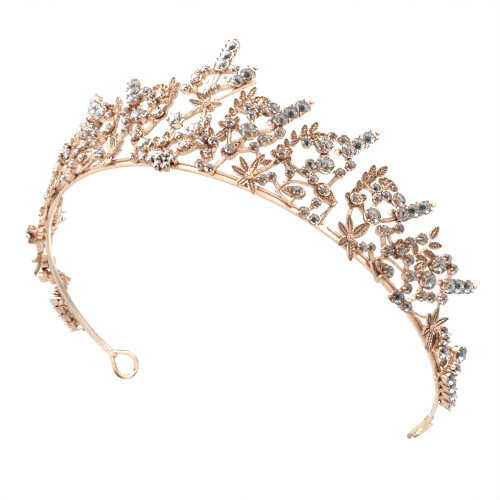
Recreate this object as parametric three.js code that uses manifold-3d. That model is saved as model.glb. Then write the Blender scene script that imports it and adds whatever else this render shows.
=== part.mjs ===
// Bridal tiara: a flat wire band with an eye at each end, and seven cast openwork panels set with
// clear stones standing on it. Millimetres, +Z up, the front centre of the tiara towards -Y.
//
// A panel is drawn flat and then wrapped round the band. Its flat coordinates are
//   u  along the band, 0 at the front centre, positive to the right
//   v  up the panel, 0 at the middle of the band wire
//   w  out of the panel, 0 at the middle of the band wire
// Everything right of the centre panel is repeated, mirrored, on the left.
import * as THREE from 'three';
import { mergeVertices } from 'three/addons/utils/BufferGeometryUtils.js';
import Module from 'manifold-3d';

const wasm = await Module();
wasm.setup();

// Driving dimensions.
const BAND_RADIUS = 70;
const BAND_HALF_ANGLE = 117.5;
const CLOSING_ANGLE = 97;
const CLOSING_IN = 1.5;
const BAND_HEIGHT = 2.5;
const BAND_THICKNESS = 1.4;
const BAND_CORNER = 0.4;
const BAND_STEPS = 40;
const EYE_RADIUS = 4.3;
const EYE_REACH = 7.2;
const EYE_WIRE = 1.6;
const EYE_STEPS = 18;

const LEAN_FRONT = 8;
const LEAN_SIDE = 15;
const SIDE_ARC = 100;

const FIT_GAP = 0.3;
const BACK_FACE = BAND_THICKNESS / 2 + FIT_GAP;
const RAIL_SIZE = 1.3;
const STRUT_WIDTH = 1;
const LACE_THICKNESS = 1;
const LACE_MIDDLE = BACK_FACE + LACE_THICKNESS / 2;
const SEAT_FACE = BACK_FACE + 1.9;
const STONE_BACK = SEAT_FACE + FIT_GAP;
const STUD_FACE = SEAT_FACE + 0.9;
const STANDOFF = 2;

// Stone diameters, and the spacing of the stones along a spire.
const LARGE = 5;
const SPIRE = 4.2;
const MEDIUM = 3.2;
const SMALL = 2.4;
const SPIRE_PITCH = 3.8;
const ROW_PITCH = 4;
const STONE_SIDES = 6;
const STUD_SIDES = 4;

// Proportions of a stone to its own radius, and of its seat to its diameter.
const TABLE_SHARE = 0.6;
const GIRDLE_SHARE = 0.5;
const DEPTH_SHARE = 0.8;
const SEAT_SHARE = 0.42;
const STUD_SHARE = 0.45;
const PEAR_SHARE = 0.4;
const SHOULDER_SHARE = 0.62;

// The petals of the star flowers: direction in degrees and length.
const FOOT_STAR = [[92, 6], [133, 6.1], [180, 5.3], [250, 4.8], [312, 7]];
const TOP_STAR = [[2, 5.2], [140, 5], [188, 4.8], [247, 5], [323, 4.8]];

const TIP_RADIUS = 1;
const TIP_STEP = 0.15;
const ROW_STRIP = 1.2;
const WEB = 0.9;
const GRAIN = 0.001;

const metal = () => new THREE.MeshStandardMaterial({ color: 0xe3ab86, roughness: 0.22, metalness: 1 });
const crystal = () => new THREE.MeshStandardMaterial({ color: 0xc9d3de, roughness: 0.08, metalness: 0 });

const radians = THREE.MathUtils.degToRad;
const tiara = new THREE.Group();

function addMesh(name, geometry, material) {
  const mesh = new THREE.Mesh(geometry, material);
  mesh.name = name;
  tiara.add(mesh);
}

// A closed three.js geometry as a manifold solid. Its corners are put on a fine grid, so that faces
// meant to be level with each other really are.
function solid(geometry) {
  const bare = geometry.clone();
  bare.deleteAttribute('normal');
  bare.deleteAttribute('uv');
  const merged = mergeVertices(bare, 1e-4);
  return new wasm.Manifold(new wasm.Mesh({
    numProp: 3,
    vertProperties: merged.attributes.position.array.map((value) => Math.round(value / GRAIN) * GRAIN),
    triVerts: new Uint32Array(merged.index.array),
  }));
}

// A list of closed geometries joined into one.
function joined(geometries) {
  const mesh = geometries.map(solid).reduce((sum, next) => sum.add(next)).getMesh();
  const geometry = new THREE.BufferGeometry();
  geometry.setAttribute('position', new THREE.BufferAttribute(new Float32Array(mesh.vertProperties), 3));
  geometry.setIndex(new THREE.BufferAttribute(new Uint32Array(mesh.triVerts), 1));
  geometry.computeVertexNormals();
  return geometry;
}

// The band is round to the closing angle and then draws in a little towards its ends.
function bandRadius(angle) {
  const past = Math.max(Math.abs(angle) - radians(CLOSING_ANGLE), 0);
  return BAND_RADIUS - CLOSING_IN * (past / radians(BAND_HALF_ANGLE - CLOSING_ANGLE)) ** 2;
}

// Moves flat panel coordinates onto the leaning wall that stands on the band.
function onPanel(u, v, w) {
  const turn = u / BAND_RADIUS;
  const share = Math.min(Math.abs(u) / SIDE_ARC, 1);
  const lean = radians(LEAN_FRONT + (LEAN_SIDE - LEAN_FRONT) * share);
  const reach = bandRadius(turn) + v * Math.sin(lean) + w * Math.cos(lean);
  const height = v * Math.cos(lean) - w * Math.sin(lean);
  return new THREE.Vector3(reach * Math.sin(turn), -reach * Math.cos(turn), height);
}

function wrapped(geometry) {
  const position = geometry.attributes.position;
  for (let i = 0; i < position.count; i += 1) {
    const point = onPanel(position.getX(i), position.getY(i), position.getZ(i));
    position.setXYZ(i, point.x, point.y, point.z);
  }
  return geometry;
}

// A wire of the given outline along a smooth path.
function wire(outline, path, steps) {
  return new THREE.ExtrudeGeometry(outline, { extrudePath: path, steps, bevelEnabled: false });
}

function rectangle(width, height) {
  const x = width / 2;
  const y = height / 2;
  return new THREE.Shape([
    new THREE.Vector2(x, -y),
    new THREE.Vector2(x, y),
    new THREE.Vector2(-x, y),
    new THREE.Vector2(-x, -y),
  ]);
}

// A rectangle with cut corners, as the section of a flat wire.
function flatWire(width, height, corner) {
  const x = width / 2;
  const y = height / 2;
  return new THREE.Shape([
    new THREE.Vector2(x, corner - y),
    new THREE.Vector2(x, y - corner),
    new THREE.Vector2(x - corner, y),
    new THREE.Vector2(corner - x, y),
    new THREE.Vector2(-x, y - corner),
    new THREE.Vector2(-x, corner - y),
    new THREE.Vector2(corner - x, -y),
    new THREE.Vector2(x - corner, -y),
  ]);
}

// The band lies in a level plane, so its underside is one flat horseshoe.
class BandArc extends THREE.Curve {
  getPoint(t) {
    const angle = radians(BAND_HALF_ANGLE) * (2 * t - 1);
    return new THREE.Vector3(Math.sin(angle), -Math.cos(angle), 0).multiplyScalar(bandRadius(angle));
  }
}

// The eye is a teardrop in the upright plane that is tangent to the end of the band. It leaves the
// band end along one straight side, runs round a circle and comes back along the other side.
class EyeLoop extends THREE.Curve {
  getPoint(t) {
    const opening = Math.acos(EYE_RADIUS / EYE_REACH);
    const sweep = 2 * (Math.PI - opening);
    const straight = Math.sqrt(EYE_REACH ** 2 - EYE_RADIUS ** 2);
    const distance = t * (2 * straight + sweep * EYE_RADIUS);
    const along = (distance - straight) / EYE_RADIUS;
    const angle = Math.PI - opening - THREE.MathUtils.clamp(along, 0, sweep);
    const x = EYE_REACH + EYE_RADIUS * Math.cos(angle);
    const y = EYE_RADIUS * Math.sin(angle);
    const before = distance / straight;
    const after = 1 - (Math.max(along - sweep, 0) * EYE_RADIUS) / straight;
    return new THREE.Vector3(x, y, 0).multiplyScalar(Math.min(before, after, 1));
  }
}

function bandEye(side) {
  const eye = wire(flatWire(EYE_WIRE, EYE_WIRE, BAND_CORNER), new EyeLoop(), EYE_STEPS);
  const arc = new BandArc();
  const last = side > 0 ? 1 : 0;
  const along = arc.getTangent(last).multiplyScalar(side);
  const up = new THREE.Vector3(0, 0, 1);
  const out = new THREE.Vector3().crossVectors(along, up);
  const overlap = arc.getPoint(last).addScaledVector(along, -BAND_HEIGHT / 2);
  return eye.applyMatrix4(new THREE.Matrix4().makeBasis(along, up, out).setPosition(overlap));
}

function bandWire() {
  const section = flatWire(BAND_HEIGHT, BAND_THICKNESS, BAND_CORNER);
  addMesh('band_wire', joined([wire(section, new BandArc(), BAND_STEPS), bandEye(1), bandEye(-1)]), metal());
}

// A cut stone: flat table, sloping crown, and a pavilion ground flat where it meets its seat.
function stoneAt(u, v, w, diameter, turn = 0) {
  const radius = diameter / 2;
  const profile = [
    new THREE.Vector2(0, 0),
    new THREE.Vector2(radius * TABLE_SHARE, 0),
    new THREE.Vector2(radius, radius * GIRDLE_SHARE),
    new THREE.Vector2(radius * TABLE_SHARE, radius * DEPTH_SHARE),
    new THREE.Vector2(0, radius * DEPTH_SHARE),
  ];
  const stone = new THREE.LatheGeometry(profile, STONE_SIDES).rotateX(Math.PI / 2).rotateZ(turn + Math.PI / 2);
  return stone.translate(u, v, w);
}

// One cast panel. Its pieces are drawn from a movable origin, so that a motif is written once and
// used at several places; side is 1 for the right of the tiara and -1 for the left.
class Panel {
  constructor(name, side) {
    this.name = name;
    this.side = side;
    this.base = null;
    this.lace = [];
    this.origin = [0, 0];
    this.turn = 0;
    this.motif = '';
    this.lift = 0;
  }

  // Moves the origin of the following pieces to (u, v) and turns them outwards by a few degrees.
  // Their cups and flowers stand further off the band by the lift.
  moveTo(u, v, outward, motif, lift = 0) {
    this.origin = [u, v];
    this.turn = -radians(outward);
    this.motif = motif;
    this.lift = lift;
  }

  point(x, y) {
    const [u, v] = this.origin;
    const cos = Math.cos(this.turn);
    const sin = Math.sin(this.turn);
    return [this.side * (u + x * cos - y * sin), v + x * sin + y * cos];
  }

  heading(degrees) {
    const angle = radians(degrees) + this.turn;
    return this.side > 0 ? angle : Math.PI - angle;
  }

  // A thin cast strut through the given points.
  strut(points, width = STRUT_WIDTH) {
    const path = points.map(([x, y]) => new THREE.Vector3(...this.point(x, y), LACE_MIDDLE));
    const section = rectangle(LACE_THICKNESS, width);
    this.lace.push(wire(section, new THREE.CatmullRomCurve3(path), points.length - 1));
  }

  // The length of rail that sits along the front of the band.
  rail(from, to) {
    const ends = [from, to].map((u) => new THREE.Vector3(this.side * u, 0, BACK_FACE + RAIL_SIZE / 2));
    const steps = Math.ceil(Math.abs(to - from) / 8);
    this.base = wrapped(wire(rectangle(RAIL_SIZE, RAIL_SIZE), new THREE.LineCurve3(...ends), steps));
  }

  // The cup that a larger stone lies on.
  seat(x, y, diameter) {
    this.post(x, y, diameter * SEAT_SHARE, SEAT_FACE, STONE_SIDES);
  }

  // A small stone and its cup, in one piece.
  stud(x, y, diameter = SMALL) {
    this.post(x, y, diameter * STUD_SHARE, STUD_FACE, STUD_SIDES);
  }

  post(x, y, radius, face, sides) {
    const [u, v] = this.point(x, y);
    const height = face + this.lift - BACK_FACE;
    const post = new THREE.CylinderGeometry(radius, radius, height, sides).rotateX(Math.PI / 2);
    this.lace.push(post.translate(u, v, BACK_FACE + height / 2));
  }

  // A larger stone is a piece of its own, laid on its seat.
  stone(name, x, y, diameter) {
    this.seat(x, y, diameter);
    const [u, v] = this.point(x, y);
    addMesh(this.pieceName(name), wrapped(stoneAt(u, v, STONE_BACK + this.lift, diameter)), crystal());
  }

  // A straight row of touching stones, with one seat strip and, on a spire, a ball tip.
  row(name, x, y, degrees, count, pitch, diameter) {
    const angle = radians(degrees);
    const place = (step) => [x + Math.cos(angle) * pitch * step, y + Math.sin(angle) * pitch * step];
    const stones = [];
    for (let i = 0; i < count; i += 1) {
      const [u, v] = this.point(...place(i));
      this.seat(...place(i), diameter);
      stones.push(wrapped(stoneAt(u, v, STONE_BACK + this.lift, diameter, this.heading(degrees))));
    }
    addMesh(this.pieceName(name), joined(stones), crystal());
    this.strut([place(-0.3), place(count - TIP_STEP)], ROW_STRIP);
  }

  spire(name, x, y, degrees, count = 3) {
    this.row(name, x, y, degrees, count, SPIRE_PITCH, SPIRE);
    const angle = radians(degrees);
    const reach = SPIRE_PITCH * (count - TIP_STEP);
    this.tip(x + Math.cos(angle) * reach, y + Math.sin(angle) * reach);
  }

  tip(x, y) {
    const [u, v] = this.point(x, y);
    this.lace.push(new THREE.IcosahedronGeometry(TIP_RADIUS, 0).translate(u, v, LACE_MIDDLE + 0.3));
  }

  // A leaf with its base at (x, y), pointing in the given direction.
  leaf(x, y, degrees, length, width) {
    const outline = new THREE.Shape();
    outline.moveTo(0, 0);
    outline.quadraticCurveTo(length * 0.45, width, length, 0);
    outline.quadraticCurveTo(length * 0.45, -width, 0, 0);
    this.plate(outline, x, y, degrees);
  }

  plate(outline, x, y, degrees) {
    const blade = new THREE.ExtrudeGeometry(outline, {
      depth: LACE_THICKNESS, bevelEnabled: false, curveSegments: 2,
    });
    const [u, v] = this.point(x, y);
    this.lace.push(blade.rotateZ(this.heading(degrees)).translate(u, v, BACK_FACE + this.lift));
  }

  // A ring of petals cut from one plate. Each petal has its own direction and length, in the order
  // of their directions, and is widest at its shoulders.
  petals(x, y, tips, shoulder, waist) {
    const corners = [];
    tips.forEach(([degrees, length], i) => {
      const before = tips[(i + tips.length - 1) % tips.length][0];
      const gap = (degrees - before + 360) % 360;
      const corner = (turned, along, across) => {
        const angle = radians(degrees - turned);
        corners.push(new THREE.Vector2(
          along * Math.cos(angle) - across * Math.sin(angle),
          this.side * (along * Math.sin(angle) + across * Math.cos(angle)),
        ));
      };
      corner(gap / 2, waist, 0);
      corner(0, length * SHOULDER_SHARE, -shoulder);
      corner(0, length, 0);
      corner(0, length * SHOULDER_SHARE, shoulder);
    });
    this.plate(new THREE.Shape(corners), x, y, 0);
  }

  // A textured pear-shaped plate with a stone near its round end.
  pear(name, x, y, degrees, length) {
    const angle = radians(degrees);
    const behind = length * PEAR_SHARE;
    this.leaf(x - Math.cos(angle) * behind, y - Math.sin(angle) * behind, degrees, length, length * 0.6);
    this.stone(name, x, y, MEDIUM);
  }

  // A flower of five long petals round a small knob.
  star(x, y, tips) {
    this.petals(x, y, tips, 1, 1.3);
    this.stud(x, y);
  }

  // Four short petals round one stone.
  flower(name, x, y) {
    this.petals(x, y, [[45, 3.6], [135, 3.6], [225, 3.6], [315, 3.6]], 1.3, 1.9);
    this.stone(name, x, y, MEDIUM);
  }

  pieceName(name) {
    const words = [this.motif, name, this.name === 'centre' ? '' : this.sideName()];
    return words.filter(Boolean).join('_');
  }

  sideName() {
    return this.side > 0 ? 'right' : 'left';
  }

  finish() {
    const name = this.name === 'centre' ? 'centre_panel' : `${this.name}_panel_${this.sideName()}`;
    addMesh(name, joined([wrapped(joined(this.lace)), this.base]), metal());
  }
}

// A spray with a sprig of leaves, three small stones in a trefoil, one large stone and a spire.
function trefoilSpray(panel) {
  panel.flower('flower_stone', 0, 0);
  panel.strut([[0, 0], [-0.6, 4], [-0.3, 8], [1.2, 11]], WEB);
  panel.leaf(-0.5, 4.6, 125, 3.8, 1.5);
  panel.leaf(-0.4, 7.6, 110, 4, 1.6);
  panel.leaf(1, 10.6, 80, 4, 1.7);
  panel.strut([[-0.4, 6], [4.4, 6.3], [9.3, 8.8], [12.4, 6.3]]);
  panel.strut([[4.4, 6.3], [5, 11.2]]);
  panel.leaf(2.8, 10.6, 10, 5, 2.2);
  panel.stud(2.6, 7);
  panel.stud(6.1, 7.4);
  panel.stud(4.7, 4.7);
  panel.stud(9.3, 8.8, 3.8);
  panel.strut([[0, 0], [6.4, -1], [11.2, 2.6], [12.4, 6.3]]);
  panel.strut([[6.4, -1], [5, 4.5]]);
  panel.stone('large_stone', 6.4, -1, LARGE);
  panel.stud(14.4, 2.4, 2.8);
  panel.strut([[12.4, 6.3], [14.4, 2.4], [11.4, -1.6]]);
  panel.pear('pear_stone', 11.4, -1.6, 40, 6);
  panel.spire('spire_stones', 12.6, 6.4, 62);
}

// A spray with a taller sprig, two large stones one above the other and a longer spire.
function doubleSpray(panel) {
  panel.flower('flower_stone', 0, 0);
  panel.strut([[0, 0], [0.4, 4], [2, 8], [4.6, 11.4], [6.5, 12.4]], WEB);
  panel.leaf(0.6, 4.4, 115, 3.6, 1.4);
  panel.leaf(1.8, 7.4, 105, 3.8, 1.5);
  panel.leaf(3.6, 10.2, 95, 4, 1.7);
  panel.leaf(4.6, 11.4, 30, 5, 2.2);
  panel.stud(4.4, 7, 2.8);
  panel.strut([[2, 8], [8.7, 8.6], [11.8, 3.2]]);
  panel.stone('upper_large_stone', 8.7, 8.6, LARGE);
  panel.stone('lower_large_stone', 11.8, 3.2, LARGE);
  panel.strut([[8.7, 8.6], [9.4, 12.4], [12.6, 13.6], [15.2, 11.2]]);
  panel.stud(9.4, 12.5);
  panel.stud(12.6, 13.6);
  panel.strut([[15.2, 11.2], [17.6, 7.6], [16.4, 3.6], [15, -4]]);
  panel.stud(17.6, 7.6, 2.8);
  panel.stud(16.4, 3.8, 2.8);
  panel.strut([[0, 0], [4, -1.6], [8, -1.6], [11.8, 3.2]]);
  panel.stud(8, -1.6);
  panel.strut([[8, -1.6], [11, -2.6], [15, -4]]);
  panel.stud(11, -2.6, 3);
  panel.pear('pear_stone', 15, -4, -18, 8);
  panel.spire('spire_stones', 15.2, 11.2, 69);
}

// A spray for the side of the head: its sprig stands up in the middle, between a flower with two
// small stones and a pair of large stones.
function sideSpray(panel) {
  panel.flower('flower_stone', 71.9, 9.4);
  panel.strut([[71.9, 9.4], [72.8, 13.4], [75.3, 17.2]]);
  panel.stud(72.8, 13.4, 2.8);
  panel.stud(75.3, 17.2, 3);
  panel.strut([[71.9, 9.4], [75.9, 9.4], [79, 6], [84.3, 9.7]]);
  panel.stud(75.9, 9.4, 2.8);
  panel.pear('pear_stone', 79, 6, 60, 5.6);
  panel.strut([[75.9, 9.4], [77.4, 13], [78.4, 16.4], [77.8, 20]], WEB);
  panel.leaf(77, 12.6, 130, 3.4, 1.4);
  panel.leaf(77.4, 12.6, 25, 3.4, 1.4);
  panel.leaf(78.3, 15.8, 20, 4, 1.6);
  panel.leaf(78.4, 18, 42, 4.2, 1.7);
  panel.leaf(77.8, 19.8, 96, 4.4, 1.8);
  panel.strut([[84.3, 9.7], [83.7, 15.5], [85.2, 19.4], [89.1, 19], [91.2, 14.6]]);
  panel.stone('upper_large_stone', 83.7, 15.5, LARGE);
  panel.stone('lower_large_stone', 84.3, 9.7, LARGE);
  panel.stud(85.2, 19.6);
  panel.stud(88.8, 19.2, 2.8);
  panel.strut([[84.3, 9.7], [86.1, 5.1], [89.1, 7.5], [92.5, 10.8], [91.2, 14.6]]);
  panel.stud(86.1, 5.1, 3);
  panel.stud(89.1, 7.5, 2.8);
  panel.stud(92.5, 10.6, 3);
  panel.spire('spire_stones', 91.2, 14.6, 47);
}

// The foot of an inner or outer panel: a star flower, a pair of stones, and an arched rib with a
// pear under it.
function foot(panel) {
  panel.star(0, 0, FOOT_STAR);
  panel.strut([[0, 0], [4.2, 0.4], [6, 2.4], [9.2, 0.6]]);
  panel.stud(4.2, 0.4, 2.8);
  panel.stud(6, 2.5);
  panel.strut([[9, -0.6], [10.3, 3.1], [12.8, 5.2], [17.4, 6.4], [20, 7]]);
  panel.pear('arch_stone', 14.4, 2, 197, 6.8);
  panel.strut([[14.4, 2], [14, -2]]);
}

function centrePanel() {
  const panel = new Panel('centre', 1);
  panel.rail(-10.5, 10.5);
  panel.moveTo(0, 0, 0, 'centre');
  for (let i = 0; i < 5; i += 1) {
    const angle = radians(90 + i * 72);
    panel.stud(-1.6 + 2.5 * Math.cos(angle), -0.4 + 2.5 * Math.sin(angle));
  }
  panel.petals(-1.6, -0.4, [[18, 2.6], [90, 2.6], [162, 2.6], [234, 2.6], [306, 2.6]], 0.8, 1.2);
  panel.strut([[-1.6, 0], [-5, 6], [-4.4, 14.6], [1.6, 22.5]]);
  panel.strut([[-1.6, 0], [1.6, 5.4], [3.2, 11.7], [1.6, 22.5]]);
  panel.flower('left_flower_stone', -5.2, 6);
  panel.stone('left_large_stone', -4.5, 14.4, LARGE);
  panel.stone('right_large_stone', 3.2, 11.7, LARGE);
  panel.stud(-1.2, 8.8);
  panel.strut([[-5, 6], [-1.2, 8.8], [3.2, 11.7]]);
  panel.pear('pear_stone', 2.2, 5.4, 33, 6.6);
  panel.stud(4.8, 15.7, 2.8);
  panel.strut([[3.2, 11.7], [4.8, 15.7], [4.4, 18.4]]);
  panel.strut([[3.2, 11.7], [7, 9.9], [10.4, 9.2], [10.9, 4.6], [9.7, 0.6]]);
  panel.stud(7, 9.9, 2.8);
  panel.stud(10.4, 9.2, 2.8);
  panel.stud(10.9, 4.6, 2.8);
  panel.stud(9.7, 0.6, 2.8);
  panel.stud(-6.4, -0.6);
  panel.stud(-9.4, -0.2);
  panel.stud(-11, 4.6, 4.4);
  panel.strut([[-8.6, 0], [-11, 4.6], [-5.2, 6]]);
  panel.star(1.6, 22.5, TOP_STAR);
  panel.strut([[1.6, 22.5], [0.6, 26], [0, 32], [0.3, 37]], 1.5);
  panel.stud(0.4, 26.2);
  panel.stud(2, 28.6);
  panel.strut([[3.4, 24.6], [11.8, 33.8]], 1.2);
  panel.strut([[0.6, 26], [2, 28.6], [7.3, 31.7]]);
  panel.strut([[1.6, 23], [-4.4, 27], [-7, 27.2]]);
  panel.strut([[-4.4, 27], [-5.6, 31], [-3.8, 34.6], [0, 36]]);
  panel.leaf(-4.6, 27, 110, 7.6, 3.6);
  panel.stud(-5.6, 31, 2.6);
  panel.stud(-7.2, 27, 2.8);
  panel.stud(-4, 34.8);
  panel.stud(4.8, 36.4);
  panel.strut([[0, 36], [4.8, 36.4]]);
  panel.spire('side_spire_stones', 7.3, 31.9, 62, 2);
  panel.spire('spire_stones', 0.3, 37, 90);
  panel.finish();
}

function innerPanel(side) {
  const panel = new Panel('inner', side);
  panel.rail(12, 49.5);
  panel.moveTo(0, 0, 0, 'inner');
  panel.pear('base_pear_stone', 15.8, 8.2, 68, 8.4);
  panel.strut([[11.8, 16.8], [14, 11], [15.8, 8], [13.4, 0]]);
  panel.stud(13.2, 0, 2.8);
  panel.strut([[15.8, 8], [21.6, 11.8], [22.6, 15]]);
  panel.stud(21.8, 11.6);
  panel.strut([[21.8, 11.6], [24, 9.6], [24.4, 2.4]]);
  panel.leaf(25.2, 8.4, 14, 5, 2);
  panel.strut([[29.7, 12.9], [28, 8], [24.4, 2.4]]);
  panel.strut([[29.7, 12.9], [34.3, 8.7], [34.3, 5.4]]);
  panel.stud(34.3, 8.8, 2.8);
  panel.strut([[44.7, 9.2], [49.4, 8.3]]);
  panel.strut([[49.2, 8.4], [48.7, 0]]);
  panel.strut([[45, 4.4], [43.3, -0.2]]);
  panel.stud(44.8, 4.4, 2.8);
  panel.stud(43.3, -0.2, 3);
  panel.stud(46.7, -0.3, 2.8);
  panel.moveTo(11.8, 16.8, 0, 'inner_trefoil');
  trefoilSpray(panel);
  panel.moveTo(29.7, 12.9, 0, 'inner_double');
  doubleSpray(panel);
  panel.moveTo(24.4, 2.4, 0, 'inner_foot');
  foot(panel);
  panel.finish();
}

function outerPanel(side) {
  const panel = new Panel('outer', side);
  panel.rail(51.5, 89);
  panel.moveTo(0, 0, 0, 'outer');
  panel.strut([[53.4, 12.5], [54.6, 7], [58.2, 1.9]]);
  panel.strut([[59.8, 11.4], [60.6, 6], [58.2, 1.9]]);
  panel.strut([[64.6, 10.8], [69, 6.3], [71.9, 9.4]]);
  panel.stud(69, 6.3, 3);
  panel.strut([[69, 6.3], [69.6, 2.6]]);
  panel.strut([[79, 6], [80.8, 2.8], [78.9, -2.6]]);
  panel.stud(80.8, 2.8, 3);
  panel.strut([[86.1, 5.1], [83.2, -2]]);
  panel.strut([[83.2, -2], [88.5, 0.6], [90.6, 3], [91.2, 6.8], [92.5, 10.6]]);
  panel.moveTo(0, 0, 0, 'outer', STANDOFF);
  panel.stud(78.9, -2.6, 3.8);
  panel.stud(83.2, -2, 3);
  panel.moveTo(53.4, 12.5, 3, 'outer_trefoil');
  trefoilSpray(panel);
  panel.moveTo(0, 0, 0, 'outer_side');
  sideSpray(panel);
  panel.moveTo(58.2, 1.9, 8, 'outer_foot');
  foot(panel);
  panel.finish();
}

function endPanel(side) {
  const panel = new Panel('end', side);
  panel.rail(91.5, 130);
  panel.moveTo(95.5, 1.4, 8, 'end', STANDOFF);
  panel.star(0, 0, FOOT_STAR);
  panel.moveTo(0, 0, 0, 'end', STANDOFF);
  panel.strut([[95.5, 1.4], [99.1, 4], [101.8, 3.3], [104.3, 0.6]]);
  panel.stud(99.1, 4, 2.8);
  panel.stud(101.8, 3.3, 2.8);
  panel.stud(104.3, 0.6, 3.6);
  panel.strut([[104.3, 0.6], [106.6, 4], [110.3, 6.3], [113.6, 5.9], [115, 3.9], [115, 0.2]]);
  panel.stone('large_stone', 110.3, 6.3, LARGE);
  panel.strut([[110.3, 6.3], [114.2, 8.6]], 1.5);
  panel.tip(114.4, 8.7);
  panel.strut([[114.9, 0], [114.9, -2]]);
  panel.tip(114.9, -2.1);
  panel.stud(115, 3.9, 2.8);
  panel.row('row_stones', 115.4, 0.2, 0, 4, ROW_PITCH - 0.2, ROW_PITCH);
  panel.tip(130.2, 0.2);
  panel.finish();
}

bandWire();
centrePanel();
for (const side of [1, -1]) {
  innerPanel(side);
  outerPanel(side);
  endPanel(side);
}

// The lowest points of the tiara touch Z = 0 and its box is centred on the Z axis.
const box = new THREE.Box3().setFromObject(tiara);
const centre = box.getCenter(new THREE.Vector3());
tiara.position.set(-centre.x, -centre.y, -box.min.z);

export default tiara;
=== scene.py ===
"""Bridal tiara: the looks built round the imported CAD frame.

Every casting is drawn flat in millimetres and then wrapped round the band:
  u  along the band, 0 at the front centre, positive to the right
  v  up the panel, 0 at the middle of the band wire
  w  out of the panel, 0 at the middle of the band wire
"""
import math

import bpy
import numpy as np
from mathutils import Matrix, Vector


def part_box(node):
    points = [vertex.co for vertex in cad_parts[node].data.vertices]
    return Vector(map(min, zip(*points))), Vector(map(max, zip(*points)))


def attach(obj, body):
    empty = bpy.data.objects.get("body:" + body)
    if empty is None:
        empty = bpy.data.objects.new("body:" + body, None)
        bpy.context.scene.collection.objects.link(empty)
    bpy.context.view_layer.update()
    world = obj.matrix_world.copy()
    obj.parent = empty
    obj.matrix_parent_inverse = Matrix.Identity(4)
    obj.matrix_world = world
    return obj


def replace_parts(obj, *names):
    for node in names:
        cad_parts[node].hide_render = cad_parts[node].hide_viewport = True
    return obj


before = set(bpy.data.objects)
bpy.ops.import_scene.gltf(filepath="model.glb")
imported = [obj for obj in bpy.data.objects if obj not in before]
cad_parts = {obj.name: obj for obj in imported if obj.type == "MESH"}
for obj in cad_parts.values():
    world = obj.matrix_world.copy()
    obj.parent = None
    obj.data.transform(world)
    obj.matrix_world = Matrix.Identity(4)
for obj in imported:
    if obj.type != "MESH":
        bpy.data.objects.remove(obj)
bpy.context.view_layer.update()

MM = 0.001

# The band, as in the CAD: lengths in millimetres, angles in degrees.
BAND_RADIUS = 70.0
BAND_HALF_ANGLE = 117.5
CLOSING_ANGLE = 97.0
CLOSING_IN = 1.5
BAND_HEIGHT = 2.5
BAND_THICKNESS = 1.4
LEAN_FRONT = 8.0
LEAN_SIDE = 15.0
SIDE_ARC = 100.0

# The eyes at the ends of the band. The left one is twisted a third as much as the right one.
EYE_RADIUS = 4.3
EYE_REACH = 7.2
EYE_WIRE = 1.6
EYE_TWIST = 28.0

# Values of w: the back of the castings, the middle of the stems and the plane of the leaves.
BACK = 1.0
LACE = 1.55
LEAF = 1.9

# How much further off the band the end panels and two low stones stand.
STANDOFF = 2.0

# The half width of a cast stem. Thinner ones carry no grains.
STEM = 0.7

# Stone diameters.
LARGE = 5.0
SPIRE = 4.2
MEDIUM = 3.2

# The distance between the stones of a spire.
SPIRE_PITCH = 3.8

# The points along and across a leaf, and round the outline of a pear setting.
LEAF_ROWS, LEAF_COLUMNS = 14, 12
PEAR_SIDES = 28

# Faces that meet at more than this angle keep a sharp edge.
SHARP_ANGLE = 50

band_low, band_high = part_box("band_wire")
BAND_CENTRE = Vector(
    (
        (band_low.x + band_high.x) / 2,
        band_low.y + (BAND_RADIUS + BAND_THICKNESS / 2) * MM,
        (band_low.z + band_high.z) / 2,
    )
)

# Material slots: of a casting, of a stone and of the band.
POLISHED, TEXTURED = 0, 1
CROWN, FOIL = 0, 1
BAND_LOOK, EYE_LOOK = 0, 1

# The petals of the star flowers: direction in degrees and length.
FOOT_STAR = ((92, 6.2), (133, 6.4), (180, 5.6), (250, 5.2), (312, 7.2))
TOP_STAR = ((2, 5.4), (140, 5.2), (188, 5.2), (247, 5.2), (323, 5.0))


def band_radius(angle):
    """Round to the closing angle, then drawing in a little towards the ends. Angles in radians."""
    past = np.maximum(np.abs(angle) - math.radians(CLOSING_ANGLE), 0.0)
    return BAND_RADIUS - CLOSING_IN * (past / math.radians(BAND_HALF_ANGLE - CLOSING_ANGLE)) ** 2


def on_band(points):
    """Points in millimetres about the band's centre, as points in metres."""
    return np.array(points) * MM + np.array(BAND_CENTRE)


def on_panel(points):
    """Flat (u, v, w) points in millimetres, wrapped round the band and turned into metres."""
    u, v, w = points[:, 0], points[:, 1], points[:, 2]
    turn = u / BAND_RADIUS
    share = np.minimum(np.abs(u) / SIDE_ARC, 1.0)
    lean = np.radians(LEAN_FRONT + (LEAN_SIDE - LEAN_FRONT) * share)
    reach = band_radius(turn) + v * np.sin(lean) + w * np.cos(lean)
    height = v * np.cos(lean) - w * np.sin(lean)
    flat = np.stack([reach * np.sin(turn), -reach * np.cos(turn), height], axis=1)
    return on_band(flat)


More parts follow.
